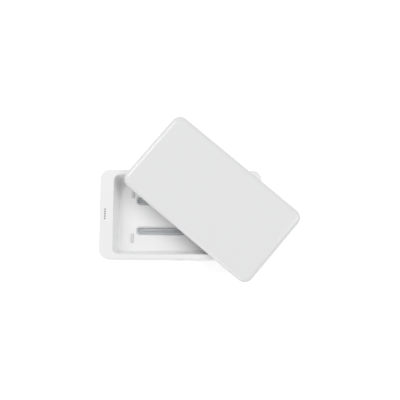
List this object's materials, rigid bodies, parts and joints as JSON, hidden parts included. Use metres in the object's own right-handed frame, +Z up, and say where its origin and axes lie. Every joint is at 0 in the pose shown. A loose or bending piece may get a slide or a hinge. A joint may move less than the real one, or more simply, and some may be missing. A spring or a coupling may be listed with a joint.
{
  "type": "uv sanitizer box for phones",
  "caption": "Free-standing two-piece UV-C box for a phone: a base with a leaning-walled chamber and lamps, and a loose flat lid with lamps that lies on its rim.",
  "frame": {"origin": "middle of the foot ring under the base, on the table", "axes": "+Z up; +X along the box, away from the electronics bay; -Y the front with the button"},
  "size_m": [0.2581, 0.2137, 0.047],
  "materials": {
    "shell_white": "satin white moulded ABS",
    "lid_white": "satin white moulded ABS, a little greyer than the base",
    "tub_white": "satin white moulded ABS",
    "cover_white": "fine-textured white moulded ABS",
    "foot_silicone": "pale grey silicone",
    "rest_silicone": "translucent white silicone",
    "screw_steel": "zinc-plated steel",
    "window_clear": "clear quartz plate",
    "lamp_glass": "quartz lamp tube",
    "lamp_cap": "pressed metal cap",
    "holder_silicone": "white silicone",
    "reflector_metal": "bright rolled aluminium sheet",
    "circuit_board": "green solder mask",
    "transformer": "taped winding",
    "chip_black": "black epoxy",
    "socket_steel": "nickel-plated steel",
    "contact_black": "black nylon",
    "contact_gold": "gold-plated brass",
    "pin_dark": "dark plated brass",
    "button_white": "smooth white cap",
    "led": "white emitter",
    "light_clear": "clear acrylic rod",
    "magnet_nickel": "nickel-plated magnet"
  },
  "bodies": {
    "base": {"base_shell": "shell_white", "chamber_tub": "tub_white", "bottom_cover": "cover_white", "foot_ring": "foot_silicone", "bottom_screws": "screw_steel", "floor_windows": "window_clear", "phone_rests": "rest_silicone", "base_lamps": "lamp_glass", "base_lamp_caps": "lamp_cap", "base_lamp_holders": "holder_silicone", "base_reflectors": "reflector_metal", "main_board": "circuit_board", "board_screws": "screw_steel", "lamp_transformer": "transformer", "control_chip": "chip_black", "usb_socket": "socket_steel", "usb_tongue": "contact_black", "contact_block": "contact_black", "contact_barrels": "contact_gold", "contact_board": "circuit_board", "contact_board_screws": "screw_steel", "front_board": "circuit_board", "button_switch": "chip_black", "status_led": "led", "status_light": "light_clear", "hall_sensor": "chip_black", "base_magnets": "magnet_nickel"},
    "button": {"power_button": "button_white"},
    "pin_1": {"contact_pin_1": "pin_dark"},
    "pin_2": {"contact_pin_2": "pin_dark"},
    "pin_3": {"contact_pin_3": "pin_dark"},
    "pin_4": {"contact_pin_4": "pin_dark"},
    "pin_5": {"contact_pin_5": "pin_dark"},
    "lid_carrier": {"lid_sense_magnet": "magnet_nickel"},
    "lid": {"lid_shell": "lid_white", "lid_liner": "tub_white", "lid_window": "window_clear", "lid_screws": "screw_steel", "lid_lamps": "lamp_glass", "lid_lamp_caps": "lamp_cap", "lid_lamp_holders": "holder_silicone", "lid_reflector": "reflector_metal", "lid_board": "circuit_board", "lid_transformer": "transformer", "lid_contacts": "contact_gold", "lid_magnets": "magnet_nickel"}
  },
  "joints": [
    {"name": "lid_lift", "type": "slide", "parent": "base", "child": "lid_carrier", "axis": [0, 0, 1], "range_m": [0, 0.08]},
    {"name": "lid_turn", "type": "hinge", "parent": "lid_carrier", "child": "lid", "pos_m": [0.0477, -0.0456, 0.032], "axis": [0, 0, 1], "range_deg": [0, 39.8]},
    {"name": "button_press", "type": "slide", "parent": "base", "child": "button", "axis": [0, 1, 0], "range_m": [0, 0.0006], "stiffness_N_per_m": 300, "springref_m": -0.001},
    {"name": "pin_1_press", "type": "slide", "parent": "base", "child": "pin_1", "axis": [0, 0, -1], "range_m": [0, 0.0006], "stiffness_N_per_m": 150, "springref_m": -0.0015},
    {"name": "pin_2_press", "type": "slide", "parent": "base", "child": "pin_2", "axis": [0, 0, -1], "range_m": [0, 0.0006], "stiffness_N_per_m": 150, "springref_m": -0.0015},
    {"name": "pin_3_press", "type": "slide", "parent": "base", "child": "pin_3", "axis": [0, 0, -1], "range_m": [0, 0.0006], "stiffness_N_per_m": 150, "springref_m": -0.0015},
    {"name": "pin_4_press", "type": "slide", "parent": "base", "child": "pin_4", "axis": [0, 0, -1], "range_m": [0, 0.0006], "stiffness_N_per_m": 150, "springref_m": -0.0015},
    {"name": "pin_5_press", "type": "slide", "parent": "base", "child": "pin_5", "axis": [0, 0, -1], "range_m": [0, 0.0006], "stiffness_N_per_m": 150, "springref_m": -0.0015}
  ]
}
